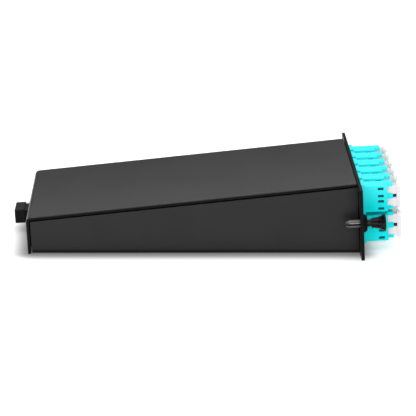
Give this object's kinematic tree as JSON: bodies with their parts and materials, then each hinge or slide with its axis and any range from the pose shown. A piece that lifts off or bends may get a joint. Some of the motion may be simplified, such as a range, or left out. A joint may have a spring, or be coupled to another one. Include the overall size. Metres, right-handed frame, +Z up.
{
  "type": "fibre cassette",
  "caption": "Wedge-shaped steel fibre cassette: front plate with two rows of capped LC duplex adapters and push-pull fasteners, capped MPO port in the back.",
  "frame": {"origin": "midway between the two fasteners, on the front plate's rear face, where it seats on the rack panel", "axes": "+X out of the front through the adapters, +Y along the plate's width, +Z up"},
  "size_m": [0.1894, 0.11, 0.0353],
  "materials": {
    "black_paint": "fine matte powder coat",
    "zinc_steel": "zinc plated",
    "black_nylon": "satin moulded nylon",
    "black_plastic": "matte moulding",
    "aqua_plastic": "satin moulding",
    "clear_cap": "translucent milky moulding",
    "beige_plastic": "satin moulding",
    "white_ceramic": "polished zirconia",
    "aqua_cord": "soft jacket"
  },
  "bodies": {
    "cassette": {"tray": "black_paint", "cover": "black_paint", "front_plate": "black_paint", "cover_bracket_near": "black_paint", "cover_bracket_far": "black_paint", "cover_screws": "zinc_steel", "clinch_nuts": "zinc_steel", "mpo_screws": "zinc_steel", "grommet_near": "black_nylon", "grommet_far": "black_nylon", "mpo_adapter": "black_plastic", "fanout_block": "black_plastic", "mpo_connector": "aqua_plastic", "split_sleeves": "white_ceramic", "trunk_tube": "aqua_cord", "fibre_tails": "aqua_cord", "lc_adapter_top_1": "aqua_plastic", "lc_adapter_top_2": "aqua_plastic", "lc_adapter_top_3": "aqua_plastic", "lc_adapter_top_4": "aqua_plastic", "lc_adapter_top_5": "aqua_plastic", "lc_adapter_top_6": "aqua_plastic", "lc_adapter_bottom_1": "aqua_plastic", "lc_adapter_bottom_2": "aqua_plastic", "lc_adapter_bottom_3": "aqua_plastic", "lc_adapter_bottom_4": "aqua_plastic", "lc_adapter_bottom_5": "aqua_plastic", "lc_adapter_bottom_6": "aqua_plastic", "lc_plug_pair_top_1": "beige_plastic", "lc_plug_pair_top_2": "beige_plastic", "lc_plug_pair_top_3": "beige_plastic", "lc_plug_pair_top_4": "beige_plastic", "lc_plug_pair_top_5": "beige_plastic", "lc_plug_pair_top_6": "beige_plastic", "lc_plug_pair_bottom_1": "beige_plastic", "lc_plug_pair_bottom_2": "beige_plastic", "lc_plug_pair_bottom_3": "beige_plastic", "lc_plug_pair_bottom_4": "beige_plastic", "lc_plug_pair_bottom_5": "beige_plastic", "lc_plug_pair_bottom_6": "beige_plastic"},
    "plunger_near": {"plunger_near": "black_nylon"},
    "plunger_far": {"plunger_far": "black_nylon"},
    "mpo_dust_cap": {"mpo_dust_cap": "black_plastic"},
    "dust_cap_top_1": {"dust_cap_top_1": "clear_cap"},
    "dust_cap_top_2": {"dust_cap_top_2": "clear_cap"},
    "dust_cap_top_3": {"dust_cap_top_3": "clear_cap"},
    "dust_cap_top_4": {"dust_cap_top_4": "clear_cap"},
    "dust_cap_top_5": {"dust_cap_top_5": "clear_cap"},
    "dust_cap_top_6": {"dust_cap_top_6": "clear_cap"},
    "dust_cap_bottom_1": {"dust_cap_bottom_1": "clear_cap"},
    "dust_cap_bottom_2": {"dust_cap_bottom_2": "clear_cap"},
    "dust_cap_bottom_3": {"dust_cap_bottom_3": "clear_cap"},
    "dust_cap_bottom_4": {"dust_cap_bottom_4": "clear_cap"},
    "dust_cap_bottom_5": {"dust_cap_bottom_5": "clear_cap"},
    "dust_cap_bottom_6": {"dust_cap_bottom_6": "clear_cap"}
  },
  "joints": [
    {"name": "plunger_near_push", "type": "slide", "parent": "cassette", "child": "plunger_near", "axis": [1, 0, 0], "range_m": [-0.002, 0.0015]},
    {"name": "plunger_far_push", "type": "slide", "parent": "cassette", "child": "plunger_far", "axis": [1, 0, 0], "range_m": [-0.002, 0.0015]},
    {"name": "mpo_cap_pull", "type": "slide", "parent": "cassette", "child": "mpo_dust_cap", "axis": [-1, 0, 0], "range_m": [0, 0.015]},
    {"name": "cap_top_1_pull", "type": "slide", "parent": "cassette", "child": "dust_cap_top_1", "axis": [1, 0, 0], "range_m": [0, 0.016]},
    {"name": "cap_top_2_pull", "type": "slide", "parent": "cassette", "child": "dust_cap_top_2", "axis": [1, 0, 0], "range_m": [0, 0.016]},
    {"name": "cap_top_3_pull", "type": "slide", "parent": "cassette", "child": "dust_cap_top_3", "axis": [1, 0, 0], "range_m": [0, 0.016]},
    {"name": "cap_top_4_pull", "type": "slide", "parent": "cassette", "child": "dust_cap_top_4", "axis": [1, 0, 0], "range_m": [0, 0.016]},
    {"name": "cap_top_5_pull", "type": "slide", "parent": "cassette", "child": "dust_cap_top_5", "axis": [1, 0, 0], "range_m": [0, 0.016]},
    {"name": "cap_top_6_pull", "type": "slide", "parent": "cassette", "child": "dust_cap_top_6", "axis": [1, 0, 0], "range_m": [0, 0.016]},
    {"name": "cap_bottom_1_pull", "type": "slide", "parent": "cassette", "child": "dust_cap_bottom_1", "axis": [1, 0, 0], "range_m": [0, 0.016]},
    {"name": "cap_bottom_2_pull", "type": "slide", "parent": "cassette", "child": "dust_cap_bottom_2", "axis": [1, 0, 0], "range_m": [0, 0.016]},
    {"name": "cap_bottom_3_pull", "type": "slide", "parent": "cassette", "child": "dust_cap_bottom_3", "axis": [1, 0, 0], "range_m": [0, 0.016]},
    {"name": "cap_bottom_4_pull", "type": "slide", "parent": "cassette", "child": "dust_cap_bottom_4", "axis": [1, 0, 0], "range_m": [0, 0.016]},
    {"name": "cap_bottom_5_pull", "type": "slide", "parent": "cassette", "child": "dust_cap_bottom_5", "axis": [1, 0, 0], "range_m": [0, 0.016]},
    {"name": "cap_bottom_6_pull", "type": "slide", "parent": "cassette", "child": "dust_cap_bottom_6", "axis": [1, 0, 0], "range_m": [0, 0.016]}
  ]
}
